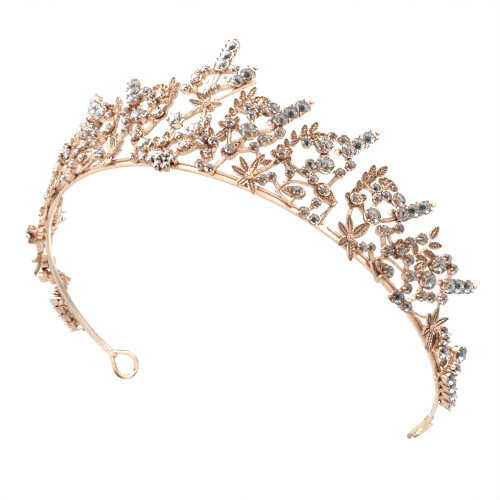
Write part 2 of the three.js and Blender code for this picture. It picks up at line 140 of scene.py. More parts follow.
class Net:
    """Points, faces and their looks, gathered for one piece."""

    def __init__(self):
        self.points = []
        self.relief = []
        self.faces = []
        self.looks = []
        self.count = 0

    def add(self, points, faces, look, relief=None, flip=False):
        """look is one material slot for all the faces, or a list with one for each."""
        self.points.append(points)
        self.relief.append(np.ones(len(points)) if relief is None else relief)
        for face in faces:
            moved = [self.count + i for i in face]
            self.faces.append(moved[::-1] if flip else moved)
        self.looks += look if isinstance(look, list) else [look] * len(faces)
        self.count += len(points)

    def build(self, name, materials, slot, faceted=False):
        """Makes the piece. The slot, the name of the surface it shows, is not used."""
        mesh = bpy.data.meshes.new(name)
        points = np.concatenate(self.points)
        mesh.from_pydata(points.tolist(), [], self.faces)
        for material in materials:
            mesh.materials.append(material)
        mesh.polygons.foreach_set("material_index", self.looks)
        relief = mesh.attributes.new("relief", "FLOAT", "POINT")
        relief.data.foreach_set("value", np.concatenate(self.relief).astype(np.float32))
        if faceted:
            mesh.shade_flat()
        else:
            mesh.shade_smooth()
            mesh.set_sharp_from_angle(angle=math.radians(SHARP_ANGLE))
        mesh.validate()
        piece = bpy.data.objects.new(name, mesh)
        bpy.context.scene.collection.objects.link(piece)
        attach(piece, "root")
        return piece


# ---------------------------------------------------------------- shapes in flat coordinates


def unit(vector):
    return vector / max(np.linalg.norm(vector), 1e-9)


def smooth_path(points, steps):
    """A Catmull-Rom curve through the points, with so many steps from each to the next."""
    points = [np.array(p, float) for p in points]
    count = len(points)
    if count < 3:
        return [points[0] + (points[-1] - points[0]) * i / steps for i in range(steps + 1)]
    path = []
    for i in range(count - 1):
        b, c = points[i], points[i + 1]
        a = points[i - 1] if i > 0 else 2 * b - c
        d = points[i + 2] if i + 2 < count else 2 * c - b
        for k in range(steps):
            t = k / steps
            path.append(
                0.5 * (2 * b + (c - a) * t + (2 * a - 5 * b + 4 * c - d) * t**2
                       + (3 * b - a - 3 * c + d) * t**3)
            )
    path.append(points[-1])
    return path


def tube(path, radius, sides, flat=1.0, taper=None):
    """A wire along the path, with rounded ends. Returns points and faces."""
    path = [np.array(p, float) for p in path]
    count = len(path)
    tangents = [unit(path[min(i + 1, count - 1)] - path[max(i - 1, 0)]) for i in range(count)]
    up = np.array([0.0, 0.0, 1.0])
    if abs(tangents[0] @ up) > 0.8:
        up = np.array([1.0, 0.0, 0.0])
    side = unit(np.cross(up, tangents[0]))
    rings = []
    for i in range(count):
        side = unit(side - tangents[i] * (side @ tangents[i]))
        rise = np.cross(tangents[i], side)
        size = radius * (taper(i / max(count - 1, 1)) if taper else 1.0)
        rings.append((path[i], side, rise, size, tangents[i]))

    def end_ring(ring, onward):
        centre, side, rise, size, tangent = ring
        return centre + onward * tangent * size * 0.6, side, rise, size * 0.75, tangent

    rings = [end_ring(rings[0], -1), *rings, end_ring(rings[-1], 1)]
    points = []
    for centre, side, rise, size, _ in rings:
        for k in range(sides):
            angle = 2 * math.pi * k / sides
            points.append(centre + side * size * math.cos(angle) + rise * size * flat * math.sin(angle))
    rows = [[i * sides + k for k in range(sides)] for i in range(len(rings))]
    faces = []
    for near, far in zip(rows, rows[1:]):
        for k in range(sides):
            n = (k + 1) % sides
            faces.append((near[k], near[n], far[n], far[k]))
    start, end = len(points), len(points) + 1
    for (centre, _, _, size, tangent), onward in ((rings[0], -1), (rings[-1], 1)):
        points.append(centre + onward * tangent * size * 0.4)
    for k in range(sides):
        n = (k + 1) % sides
        faces.append((start, rows[0][n], rows[0][k]))
        faces.append((end, rows[-1][k], rows[-1][n]))
    return np.array(points), faces


def join_rings(rows):
    """The faces between rings of point numbers. A ring that is one point repeated gives triangles."""
    faces = []
    for lower, upper in zip(rows, rows[1:]):
        for k in range(len(lower)):
            n = (k + 1) % len(lower)
            corners = []
            for i in (lower[k], lower[n], upper[n], upper[k]):
                if i not in corners:
                    corners.append(i)
            faces.append(tuple(corners))
    return faces


def lathe(x, y, profile, sides):
    """A closed solid turned about the w axis at (x, y).
    The (radius, w) profile runs from the axis at the back to the axis at the front."""
    points, rows = [], []
    for radius, w in profile:
        if radius == 0:
            rows.append([len(points)] * sides)
            points.append((x, y, w))
            continue
        rows.append([len(points) + k for k in range(sides)])
        for k in range(sides):
            angle = 2 * math.pi * k / sides
            points.append((x + radius * math.cos(angle), y + radius * math.sin(angle), w))
    return np.array(points, float), join_rings(rows)


def ball_profile(radius, w, steps=6):
    return [
        (0 if i in (0, steps) else radius * math.sin(math.pi * i / steps),
         w - radius * math.cos(math.pi * i / steps))
        for i in range(steps + 1)
    ]


def brilliant(x, y, girdle, diameter, first):
    """A round brilliant with its table at the front.
    Returns points, faces, their looks, and relief: 1 at the girdle and 0 at the culet. The foil is
    painted dark as shade where the relief is low."""
    r = diameter / 2
    crown, rim, depth = 0.32 * r, 0.06 * r, 0.84 * r
    table, mid, low = 0.56 * r, 0.80 * r, 0.26 * r
    half = math.cos(math.pi / 8)
    mid_height = crown * (r - mid * half) / (r - table)
    low_height = -depth + (depth - rim) * low * half / r

    def ring(radius, height, count, offset):
        angles = [first + offset + 2 * math.pi * k / count for k in range(count)]
        return [(x + radius * math.cos(t), y + radius * math.sin(t), girdle + height) for t in angles]

    points = ring(table, crown, 8, 0)
    points += ring(mid, mid_height, 8, math.pi / 8)
    points += ring(r, 0, 16, 0)
    points += ring(r, -rim, 16, 0)
    points += ring(low, low_height, 8, math.pi / 8)
    points.append((x, y, girdle - depth))
    top, mids, upper, lower, lows, culet = 0, 8, 16, 32, 48, 56
    crown_faces = [tuple(range(8))]
    back_faces = []
    for k in range(8):
        n = (k + 1) % 8
        p = (k - 1) % 8
        crown_faces.append((top + k, mids + k, top + n))
        crown_faces.append((top + k, mids + p, upper + 2 * k, mids + k))
        crown_faces.append((mids + k, upper + 2 * k, upper + 2 * k + 1))
        crown_faces.append((mids + k, upper + 2 * k + 1, upper + (2 * k + 2) % 16))
        back_faces.append((culet, lows + k, lower + 2 * k, lows + p))
        back_faces.append((lows + k, lower + 2 * k + 1, lower + 2 * k))
        back_faces.append((lows + k, lower + (2 * k + 2) % 16, lower + 2 * k + 1))
    for k in range(16):
        n = (k + 1) % 16
        crown_faces.append((upper + k, lower + k, lower + n, upper + n))
    looks = [CROWN] * len(crown_faces) + [FOIL] * len(back_faces)
    relief = np.array([1.0] * lows + [0.25] * 8 + [0.0])
    return np.array(points), crown_faces + back_faces, looks, relief


def blade(length, width, bend, lift, veins=5.0, blunt=0.75):
    """A leaf along +x with a raised rim, a midrib and side veins, closed underneath.
    Returns points, faces and relief: 0 in the hollows and 1 on the raised lines. The cast metal paints
    shade where the relief is low."""
    rows, columns = LEAF_ROWS, LEAF_COLUMNS
    x = y = 0.0
    step = length / rows
    spine = [(0.0, 0.0, 0.0)]
    for i in range(rows):
        heading = bend * (i + 0.5) / rows
        x += step * math.cos(heading)
        y += step * math.sin(heading)
        spine.append((x, y, bend * (i + 1) / rows))
    points, marks, upper_rows, lower_rows = [], [], [], []
    for i, (sx, sy, turn) in enumerate(spine):
        s = i / rows
        rise = lift * s * s
        if i in (0, rows):
            upper_rows.append([len(points)])
            lower_rows.append([len(points) + 1])
            points += [(sx, sy, rise + 0.2), (sx, sy, rise - 0.3)]
            marks += [1.0, 1.0]
            continue
        half = width / 2 * math.sin(math.pi * s**0.8) ** blunt
        row, below = [], []
        for k in range(columns + 1):
            t = 2 * k / columns - 1
            edge = abs(t)
            ridge = math.exp(-((t / 0.15) ** 2)) * (1 - s**4)
            border = math.exp(-(((edge - 0.9) / 0.16) ** 2))
            vein = max(0.0, math.sin(2 * math.pi * (veins * s - 1.3 * edge)))
            floor = 0.10 * (1 - t * t)
            height = rise + floor + 0.32 * ridge + 0.34 * border + 0.12 * vein
            px = sx - t * half * math.sin(turn)
            py = sy + t * half * math.cos(turn)
            row.append((px, py, height))
            below.append((px, py, rise - 0.45 + 0.15 * edge))
            marks.append(min(1.0, ridge + border + 0.95 * vein))
        upper_rows.append(list(range(len(points), len(points) + len(row))))
        points += row
        lower_rows.append(list(range(len(points), len(points) + len(below))))
        points += below
        marks += [0.9] * len(below)
    faces = []

    def skin(rows_of, upward):
        for a, b in zip(rows_of, rows_of[1:]):
            if len(a) == 1:
                made = [(a[0], b[k + 1], b[k]) for k in range(len(b) - 1)]
            elif len(b) == 1:
                made = [(a[k], a[k + 1], b[0]) for k in range(len(a) - 1)]
            else:
                made = [(a[k], a[k + 1], b[k + 1], b[k]) for k in range(len(a) - 1)]
            faces.extend(face[::-1] if upward else face for face in made)

    skin(upper_rows, True)
    skin(lower_rows, False)
    for end in (0, -1):
        upper = [row[end] for row in upper_rows]
        lower = [row[end] for row in lower_rows]
        for i in range(len(upper) - 1):
            face = (upper[i], upper[i + 1], lower[i + 1], lower[i])
            faces.append(face[::-1] if end == 0 else face)
    return np.array(points), faces, np.array(marks)


class Casting:
    """One openwork panel with its stones. side is 1 on the right of the tiara and -1 on the left."""

    def __init__(self, name, side):
        self.name = name
        self.side = side
        self.metal = Net()
        self.small = Net()
        self.gems = {}
        self.move_to(0, 0, 0, name)

    def move_to(self, u, v, outward, motif, lift=0.0):
        """Sets the origin, the outward turn and the name of what follows, and how far it stands off."""
        self.origin = (u, v)
        self.turn = -math.radians(outward)
        self.motif = motif
        self.lift = lift

    def place(self, points):
        """Points drawn about the motif's origin, moved on to the panel and wrapped."""
        points = np.array(points, float)
        cos, sin = math.cos(self.turn), math.sin(self.turn)
        x, y = points[:, 0], points[:, 1]
        u = self.side * (self.origin[0] + x * cos - y * sin)
        v = self.origin[1] + x * sin + y * cos
        return on_panel(np.stack([u, v, points[:, 2]], axis=1))

    def draw(self, shape, look, relief=None):
        points, faces = shape
        self.metal.add(self.place(points), faces, look, relief, flip=self.side < 0)

    def piece_name(self, name):
        words = [self.motif, name]
        if self.name != "centre":
            words.append("right" if self.side > 0 else "left")
        return "_".join(words)

    # -- wires

    def stem(self, points, radius=STEM, w=LACE):
        path = smooth_path([(x, y, w) for x, y in points], 4)
        self.draw(tube(path, radius, 8, 1.5), TEXTURED)
        if radius >= STEM:
            self.beads(path, 0.26, 0.74, radius * 1.35)

    def beads(self, path, radius, spacing, w_offset=0.0, clear_of=None):
        """Round grains along a path, none of them inside the (x, y, radius) circle clear_of."""
        carried = 0.0
        for a, b in zip(path, path[1:]):
            length = np.linalg.norm(b - a)
            while carried <= length:
                x, y, w = a + (b - a) * carried / max(length, 1e-9)
                if not clear_of or math.hypot(x - clear_of[0], y - clear_of[1]) > clear_of[2]:
                    self.draw(lathe(x, y, ball_profile(radius, w + w_offset, 4), 6), POLISHED)
                carried += spacing
            carried -= length

    def arch(self, points, radius=0.5):
        """A rib with a row of grains along its crest."""
        path = smooth_path([(x, y, LACE + 0.2) for x, y in points], 6)
        self.draw(tube(path, radius, 8), TEXTURED)
        self.beads(path, 0.29, 0.56, radius * 0.9)

    def scroll(self, x, y, first):
        """A fine wire, 1 mm in radius, that curls inwards through 300 degrees."""
        steps = 12
        path = []
        for i in range(steps + 1):
            angle = math.radians(first + 300 * i / steps)
            radius = 1 - 0.35 * i / steps
            path.append((x + radius * math.cos(angle), y + radius * math.sin(angle), LACE + 0.5))
        self.draw(tube(path, 0.34, 7), POLISHED)

    def ball(self, x, y, w, radius):
        self.draw(lathe(x, y, ball_profile(radius, w), 10), POLISHED)

    def web(self, x, y, radius):
        """A thin solid plate of metal that fills the gap between neighbouring stones."""
        edge, top = BACK + 0.5, BACK + 0.8
        profile = [(0, BACK), (radius, BACK), (radius, edge), (radius * 0.8, top), (0, top - 0.15)]
        shape = lathe(x, y, profile, 14)
        # A relief of 0.55 makes the cast metal paint the plate partly dark as shade.
        self.draw(shape, TEXTURED, np.full(len(shape[0]), 0.55))

    # -- leaves and flowers

    def leaf(self, x, y, degrees, length, width, bend=0.0, lift=0.5, w=LEAF, **details):
        points, faces, relief = blade(length, width, math.radians(bend), lift, **details)
        angle = math.radians(degrees)
        cos, sin = math.cos(angle), math.sin(angle)
        moved = np.stack(
            [
                x + points[:, 0] * cos - points[:, 1] * sin,
                y + points[:, 0] * sin + points[:, 1] * cos,
                points[:, 2] + w,
            ],
            axis=1,
        )
        self.draw((moved, faces), TEXTURED, relief)

    def star(self, x, y, tips):
        """Long petals round a knob of grains. Each petal has its own direction and length."""
        top = LEAF + self.lift
        for i, (degrees, length) in enumerate(tips):
            angle = math.radians(degrees)
            self.leaf(
                x + 0.6 * math.cos(angle), y + 0.6 * math.sin(angle), degrees, length - 0.6, 2.4,
                bend=12 if i % 2 else -10, lift=1.3, w=top + 0.1, veins=7, blunt=0.6,
            )
        knob = [(0, BACK), (1.3, BACK), (1.25, top + 0.6), (0.7, top + 1.0), (0, top + 1.1)]
        self.draw(lathe(x, y, knob, 12), TEXTURED)
        for i in range(6):
            angle = math.radians(60 * i)
            self.ball(x + 0.75 * math.cos(angle), y + 0.75 * math.sin(angle), top + 0.95, 0.34)
        self.ball(x, y, top + 1.2, 0.45)

    def flower(self, name, x, y, first=54, size=3.3):
        """Five broad petals round a stone."""
        for i in range(5):
            self.leaf(x, y, first + 72 * i, size, 3.0, lift=1.0, veins=4, blunt=0.45)
        self.gem(name, x, y, MEDIUM, 4, first)

    def pear(self, name, x, y, degrees, length):
        """A drop-shaped setting with a grained rim, a textured floor and a stone at its round end."""
        angle = math.radians(degrees)
        cos, sin = math.cos(angle), math.sin(angle)
        round_end = length * 0.33
        outline = []
        for i in range(PEAR_SIDES):
            t = 2 * math.pi * i / PEAR_SIDES
            pinch = 0.5 * (1 + math.cos(t))
            along = round_end * math.cos(t) + (length - 2 * round_end) * pinch**2.2
            across = round_end * 1.02 * math.sin(t) * (1 - 0.45 * pinch)
            outline.append((along, across))
        floor = (0.74, 0.4)
        levels = (
            (0.0, BACK), (0.96, BACK), (1.0, BACK + 0.5), (1.0, 2.3), (0.86, 2.55),
            (floor[0], 2.2), (floor[1], 2.35), (0.0, 2.4),
        )
        points, rows, relief = [], [], []
        for share, w in levels:
            if share == 0:
                rows.append([len(points)] * PEAR_SIDES)
                points.append((x, y, w))
                relief.append(0.4)
                continue
            rows.append([len(points) + k for k in range(PEAR_SIDES)])
            for k, (along, across) in enumerate(outline):
                a, c = along * share, across * share
                bump = 0.12 * math.sin(5 * k) if share in floor else 0.0
                points.append((x + a * cos - c * sin, y + a * sin + c * cos, w + bump))
                # The floor gets a low relief, so the cast metal paints it dark as shade.
                relief.append(0.2 if share in floor else 1.0)
        self.draw((np.array(points), join_rings(rows)), TEXTURED, np.array(relief))
        for share, w in ((0.92, 2.5), (0.72, 2.3), (0.52, 2.4)):
            ring = [
                np.array((x + share * (a * cos - c * sin), y + share * (a * sin + c * cos), w))
                for a, c in outline + outline[:1]
            ]
            self.beads(ring, 0.27, 0.58, clear_of=(x, y, MEDIUM * 0.55))
        self.gem(name, x, y, MEDIUM, 4, degrees + 45)

    # -- stones

    def girdle(self, diameter):
        """The height of a stone's widest part. A larger stone sits higher."""
        return 2.4 + 0.3 * diameter + self.lift

    def stone(self, name, x, y, diameter, first):
        """A stone without a name is one of the panel's small stones."""
        shape = brilliant(x, y, self.girdle(diameter), diameter, math.radians(first))
        points, faces, looks, relief = shape
        net = self.small if name is None else self.gems.setdefault(self.piece_name(name), Net())
        net.add(self.place(points), faces, looks, relief, flip=self.side < 0)

    def collet(self, x, y, diameter):
        """The cup under a stone, on a stalk where it stands off."""
        r, girdle = diameter / 2, self.girdle(diameter)
        base = BACK + self.lift
        stalk = [(0, BACK), (r * 0.45, BACK), (r * 0.45, base)] if self.lift else [(0, BACK)]
        profile = stalk + [
            (r * 0.78, base), (r * 0.86, base + 0.2), (r * 1.1, girdle - 0.3), (r * 1.09, girdle - 0.12),
            (r * 0.95, girdle - 0.1), (r * 0.5, base + 0.5), (0, base + 0.4),
        ]
        self.draw(lathe(x, y, profile, 16), POLISHED)

    def prong(self, x, y, diameter, degrees):
        """A claw up the side of a stone, bent over its edge."""
        radius, girdle = diameter / 2, self.girdle(diameter)
        thick = 0.18 + 0.012 * diameter
        angle = math.radians(degrees)
        cos, sin = math.cos(angle), math.sin(angle)
        path = [
            (x + reach * cos, y + reach * sin, w)
            for reach, w in (
                (radius * 0.86, BACK + 0.5 + self.lift),
                (radius * 1.0, girdle - 0.5),
                (radius * 1.01, girdle + 0.08),
                (radius * 0.93, girdle + 0.3),
                (radius * 0.82, girdle + 0.38),
            )
        ]
        self.draw(tube(path, thick, 6), POLISHED)
        tip = path[-2]
        self.draw(lathe(tip[0], tip[1], ball_profile(thick * 1.25, tip[2], 4), 7), POLISHED)

    def gem(self, name, x, y, diameter, prongs, first):
        self.stone(name, x, y, diameter, first)
        self.collet(x, y, diameter)
        for i in range(prongs):
            self.prong(x, y, diameter, first + 360 * i / prongs)

    def stud(self, x, y, diameter):
        self.gem(None, x, y, diameter, 4, 45)

    def big(self, name, x, y):
        self.gem(name, x, y, LARGE, 6, 20)

    def row(self, name, x, y, degrees, count, pitch, diameter):
        """Stones in a straight line, with shared claws between them and two bars underneath."""
        angle = math.radians(degrees)
        cos, sin = math.cos(angle), math.sin(angle)
        for i in range(count):
            px, py = x + cos * pitch * i, y + sin * pitch * i
            size = diameter * (1 - 0.04 * i)
            self.stone(name, px, py, size, degrees + 11.25)
            self.collet(px, py, size)
        top = self.girdle(diameter) + 0.25
        for i in range(count + 1):
            along = pitch * (i - 0.5)
            for hand in (1, -1):
                reach = diameter * (0.44 if 0 < i < count else 0.34)
                px = x + cos * along - sin * reach * hand
                py = y + sin * along + cos * reach * hand
                bent_over = (px + sin * 0.1 * hand, py - cos * 0.1 * hand, top)
                claw = [(px, py, BACK + 0.6), (px, py, top - 0.6), bent_over]
                self.draw(tube(claw, 0.22, 6), POLISHED)
                self.ball(px, py, top, 0.29)
        for hand in (1, -1):
            offset = diameter * 0.3 * hand
            ends = [
                (x + cos * along - sin * offset, y + sin * along + cos * offset)
                for along in (-0.45 * diameter, pitch * (count - 1) + 0.4 * diameter)
            ]
            self.stem(ends, 0.42, BACK + 0.6 + self.lift)

    def spire(self, name, x, y, degrees, count=3):
        """A row of stones that ends in a ball tip."""
        self.row(name, x, y, degrees, count, SPIRE_PITCH, SPIRE)
        angle = math.radians(degrees)
        cos, sin = math.cos(angle), math.sin(angle)
        reach = SPIRE_PITCH * (count - 1) + SPIRE * 0.42
        tip = reach + 1.6
        path = [
            (x + cos * reach, y + sin * reach, 2.0),
            (x + cos * (reach + 0.8), y + sin * (reach + 0.8), 2.4),
            (x + cos * tip, y + sin * tip, 2.7),
        ]
        self.draw(tube(path, 0.5, 8, taper=lambda t: 1.2 - 0.5 * t), POLISHED)
        self.ball(x + cos * tip, y + sin * tip, 2.8, 0.78)

    # -- the panel as a whole

    def rail(self, start, end):
        """The wire that joins the panel to the front of the band."""
        count = int((end - start) / 1.5)
        path = [np.array((start + (end - start) * i / count, 0.75, 0.85)) for i in range(count + 1)]
        self.draw(tube(path, 0.42, 10), POLISHED)

    def finish(self):
        self.motif = self.name
        node = self.piece_name("panel")
        casting = self.metal.build(f"{node}_casting", [polished, textured], "rose_gold")
        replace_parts(casting, node)
        for gem, net in self.gems.items():
            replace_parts(net.build(f"{gem}_cut", [crystal, foil], "crystal", faceted=True), gem)
        self.small.build(f"{node}_small_stones", [crystal, foil], "crystal", faceted=True)


# ---------------------------------------------------------------- materials


def node_material(name):
    material = bpy.data.materials.new(name)
    material.use_nodes = True
    nodes, links = material.node_tree.nodes, material.node_tree.links
    shader = nodes["Principled BSDF"]
    return material, nodes, links, shader


def in_millimetres(nodes, links):
    coordinates = nodes.new("ShaderNodeTexCoord")
    scale = nodes.new("ShaderNodeVectorMath")
    scale.operation = "SCALE"
    scale.inputs["Scale"].default_value = 1 / MM
    links.new(coordinates.outputs["Object"], scale.inputs[0])
    return scale.outputs[0]


def noise_texture(nodes, links, vector, scale, detail=3.0):
    noise = nodes.new("ShaderNodeTexNoise")
    noise.inputs["Scale"].default_value = scale
    noise.inputs["Detail"].default_value = detail
    links.new(vector, noise.inputs["Vector"])
    return noise.outputs["Fac"]


def ramp(nodes, links, factor, low, high):
    """Maps the factor so that low[0] gives low[1] and high[0] gives high[1]."""
    node = nodes.new("ShaderNodeMapRange")
    node.inputs["From Min"].default_value = low[0]
    node.inputs["From Max"].default_value = high[0]
    node.inputs["To Min"].default_value = low[1]
    node.inputs["To Max"].default_value = high[1]
    links.new(factor, node.inputs["Value"])
    return node.outputs["Result"]


def mix_colour(nodes, links, factor, first, second):
    node = nodes.new("ShaderNodeMix")
    node.data_type = "RGBA"
    links.new(factor, node.inputs["Factor"])
    for value, socket in ((first, node.inputs[6]), (second, node.inputs[7])):
        if isinstance(value, tuple):
            socket.default_value = (*value, 1.0)
        else:
            links.new(value, socket)
    return node.outputs[2]


def multiply(nodes, links, a, b):
    node = nodes.new("ShaderNodeMath")
    node.operation = "MULTIPLY"
    for value, socket in ((a, node.inputs[0]), (b, node.inputs[1])):
        if isinstance(value, float):
            socket.default_value = value
        else:
            links.new(value, socket)
    return node.outputs[0]


def rose_gold(name, pink, pale, roughness, grain, grain_scale, recess_shade, metallic=1.0):
    """Plated rose gold: pinker and paler patches, a fine grain, and brown painted shade in the recesses
    and crevices.
    """
    material, nodes, links, shader = node_material(name)
    place = in_millimetres(nodes, links)
    patches = ramp(nodes, links, noise_texture(nodes, links, place, 0.22), (0.35, 0.0), (0.65, 1.0))
    colour = mix_colour(nodes, links, patches, pink, pale)
    if recess_shade:
        # Painted shade: the hollows of the relief are darkened towards a near-black brown.
        attribute = nodes.new("ShaderNodeAttribute")
        attribute.attribute_name = "relief"
        hollow_shade = ramp(nodes, links, attribute.outputs["Fac"], (0.40, recess_shade), (0.85, 0.0))
        colour = mix_colour(nodes, links, hollow_shade, colour, HOLLOW_SHADE_BROWN)
        # Painted shade: where ambient occlusion finds the metal hemmed in by nearby parts, the colour is
        # darkened towards a brown.
        occlusion = nodes.new("ShaderNodeAmbientOcclusion")
        occlusion.samples = 4
        occlusion.inputs["Distance"].default_value = 1.4 * MM
        shade = ramp(nodes, links, occlusion.outputs["AO"], (0.35, 1.0), (0.92, 0.0))
        colour = mix_colour(nodes, links, shade, colour, CREVICE_SHADE_BROWN)
    links.new(colour, shader.inputs["Base Color"])
    shader.inputs["Metallic"].default_value = metallic
    fine = noise_texture(nodes, links, place, grain_scale, 4.0)
    gloss = ramp(nodes, links, fine, (0.3, roughness * 0.75), (0.7, roughness * 1.35))
    links.new(gloss, shader.inputs["Roughness"])
    bump = nodes.new("ShaderNodeBump")
    bump.inputs["Strength"].default_value = grain
    bump.inputs["Distance"].default_value = 0.25 * MM
    links.new(fine, bump.inputs["Height"])
    links.new(bump.outputs["Normal"], shader.inputs["Normal"])
    return material


def clear_crystal():
    material, nodes, links, shader = node_material("cut_crystal")
    place = in_millimetres(nodes, links)
    cloud = noise_texture(nodes, links, place, 0.4)
    colour = mix_colour(nodes, links, cloud, (0.95, 0.97, 1.0), (0.99, 0.99, 0.99))
    links.new(colour, shader.inputs["Base Color"])
    shader.inputs["Transmission Weight"].default_value = 1.0
    shader.inputs["IOR"].default_value = 1.40
    fine = noise_texture(nodes, links, place, 8.0)
    links.new(ramp(nodes, links, fine, (0.4, 0.0), (0.9, 0.04)), shader.inputs["Roughness"])
    return material


def mirror_foil():
    """The foil behind a stone, coloured as painted light: each facet takes its own grey as a painted
    reflection, and the middle is painted dark as shade.
    """
    material, nodes, links, shader = node_material("stone_foil")
    geometry = nodes.new("ShaderNodeNewGeometry")
    # Painted reflections: the true normal of each facet picks a grey between dark and near white, for
    # the light and dark flashes of a cut stone.
    tone = nodes.new("ShaderNodeTexWhiteNoise")
    snap = nodes.new("ShaderNodeVectorMath")
    snap.operation = "SNAP"
    snap.inputs[1].default_value = (0.05, 0.05, 0.05)
    links.new(geometry.outputs["True Normal"], snap.inputs[0])
    links.new(snap.outputs[0], tone.inputs["Vector"])
    colour = mix_colour(nodes, links, tone.outputs["Value"], (0.40, 0.41, 0.42), (0.98, 0.98, 0.97))
    # Painted shade: the foil turns near black towards the culet, for the dark middle of a stone.
    attribute = nodes.new("ShaderNodeAttribute")
    attribute.attribute_name = "relief"
    centre = ramp(nodes, links, attribute.outputs["Fac"], (0.25, 0.97), (0.5, 0.0))
    colour = mix_colour(nodes, links, centre, colour, (0.05, 0.05, 0.055))
    links.new(colour, shader.inputs["Base Color"])
    shader.inputs["Metallic"].default_value = 1.0
    shader.inputs["Roughness"].default_value = 0.22
    return material


PINK_GOLD, PALE_GOLD = (0.94, 0.67, 0.48), (0.97, 0.79, 0.63)
# The band wire's colours are paler than the castings' rose gold: painted light for the band's brighter
# reflections.
LIT_PINK_WIRE, LIT_PALE_WIRE = (0.96, 0.74, 0.57), (0.98, 0.80, 0.65)
# Painted shade colours: the first darkens the hollows of the relief, the second the crevices that
# ambient occlusion finds.
HOLLOW_SHADE_BROWN, CREVICE_SHADE_BROWN = (0.08, 0.045, 0.03), (0.36, 0.14, 0.06)
polished = rose_gold("polished_rose_gold", PINK_GOLD, PALE_GOLD, 0.16, 0.10, 3.0, 0.5)
textured = rose_gold("cast_rose_gold", PINK_GOLD, PALE_GOLD, 0.22, 1.0, 2.4, 1.0)
# The band wire: a rougher, less metallic finish, with colours painted paler as light.
lit_drawn_wire = rose_gold("lit_drawn_wire", LIT_PINK_WIRE, LIT_PALE_WIRE, 0.34, 0.02, 3.0, 0.0, 0.9)
crystal = clear_crystal()
foil = mirror_foil()


# ---------------------------------------------------------------- the tiara


def band_point(angle):
    """The middle of the band wire at this angle, in millimetres about the band's centre."""
    return np.array((math.sin(angle), -math.cos(angle), 0.0)) * band_radius(angle)


def eye_outline():
    """The teardrop of an eye as (along, rise) points: from the band's end, round the loop and back."""
    opening = math.acos(EYE_RADIUS / EYE_REACH)
    far = math.pi - opening
    touch = (EYE_REACH + EYE_RADIUS * math.cos(far), EYE_RADIUS * math.sin(opening))
    straight, curved = 4, 32
    outline = [(touch[0] * i / straight, touch[1] * i / straight) for i in range(straight)]
    for i in range(curved + 1):
        angle = far * (1 - 2 * i / curved)
        outline.append((EYE_REACH + EYE_RADIUS * math.cos(angle), EYE_RADIUS * math.sin(angle)))
    return outline + [(a, -b) for a, b in outline[straight - 1::-1]]


def band_wire():
    net = Net()
    steps, corners = 180, 16
    points, rows = [], []
    half_height, half_depth = BAND_HEIGHT / 2, BAND_THICKNESS / 2
    for i in range(steps + 1):
        angle = math.radians(BAND_HALF_ANGLE) * (2 * i / steps - 1)
        rows.append([len(points) + k for k in range(corners)])
        for k in range(corners):
            t = 2 * math.pi * k / corners
            out = half_depth * math.copysign(abs(math.cos(t)) ** 0.6, math.cos(t))
            rise = half_height * math.copysign(abs(math.sin(t)) ** 0.6, math.sin(t))
            reach = band_radius(angle) + out
            points.append((reach * math.sin(angle), -reach * math.cos(angle), rise))
    faces = []
    for near, far in zip(rows, rows[1:]):
        for k in range(corners):
            n = (k + 1) % corners
            faces.append((near[k], far[k], far[n], near[n]))
    faces += [rows[0], rows[-1][::-1]]
    net.add(on_band(points), faces, BAND_LOOK)
    for side, degrees in ((1, EYE_TWIST), (-1, EYE_TWIST / 3)):
        angle = math.radians(BAND_HALF_ANGLE) * side
        end = band_point(angle)
        along = unit(end - band_point(angle * 0.999))
        out = np.cross(along, (0.0, 0.0, side))
        twist = math.radians(degrees) * side
        rise = np.array((0.0, 0.0, math.cos(twist))) + out * math.sin(twist)
        start = end - along * BAND_HEIGHT / 2
        loop, faces = tube([start + along * a + rise * b for a, b in eye_outline()], EYE_WIRE / 2, 12)
        net.add(on_band(loop), faces, EYE_LOOK)
        line = [end + along * t for t in (-3.2, -1.6, 0.0, 0.6, 1.0)]
        collar, faces = tube(line, 1.25, 12, 0.7, taper=lambda t: 1.0 - 0.2 * t)
        net.add(on_band(collar), faces, EYE_LOOK)
    piece = net.build("band_wire_bent", [lit_drawn_wire, polished], "rose_gold")
    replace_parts(piece, "band_wire")


def trefoil_spray(c):
    """A spray of three small stones, a large one and a spire, about its flower."""
    c.flower("flower_stone", 0, 0)
    c.stem([(0, 0), (-0.6, 4), (-0.3, 8), (1.2, 11)], 0.4)
    c.leaf(-0.4, 3.2, 128, 3.2, 2.1)
    c.leaf(-0.5, 4.4, 70, 3.2, 2.0)
    c.leaf(-0.4, 6.2, 122, 3.6, 2.2)
    c.leaf(-0.3, 7.4, 66, 3.0, 2.0)
    c.leaf(0.0, 9.0, 112, 4.0, 2.4)
    c.leaf(1.0, 10.8, 82, 4.2, 2.5)
    c.stem([(-0.4, 6), (4.4, 6.3), (9.3, 8.8), (12.4, 6.3)])
    c.stem([(4.4, 6.3), (5, 11.2)])
    c.leaf(2.2, 9.4, 52, 6.4, 3.8, bend=-80, lift=0.3)
    c.stud(2.6, 7, 2.7)
    c.stud(6.1, 7.4, 2.7)
    c.stud(4.7, 4.7, 2.7)
    c.web(4.4, 6.5, 2.0)
    c.web(7.9, 8.0, 1.3)
    c.ball(4.4, 6.4, 2.4, 0.55)
    c.stud(9.3, 8.8, 4.0)
    c.stem([(0, 0), (6.4, -1), (11.2, 2.6), (12.4, 6.3)])
    c.stem([(6.4, -1), (5, 4.5)])
    c.big("large_stone", 6.4, -1)
    c.stud(14.4, 2.4, 3.0)
    c.stem([(12.4, 6.3), (14.4, 2.4), (11.4, -1.6)])
    c.scroll(10.2, 4.7, 60)
    c.pear("pear_stone", 11.4, -1.6, 40, 6)
    c.spire("spire_stones", 12.6, 6.4, 62)


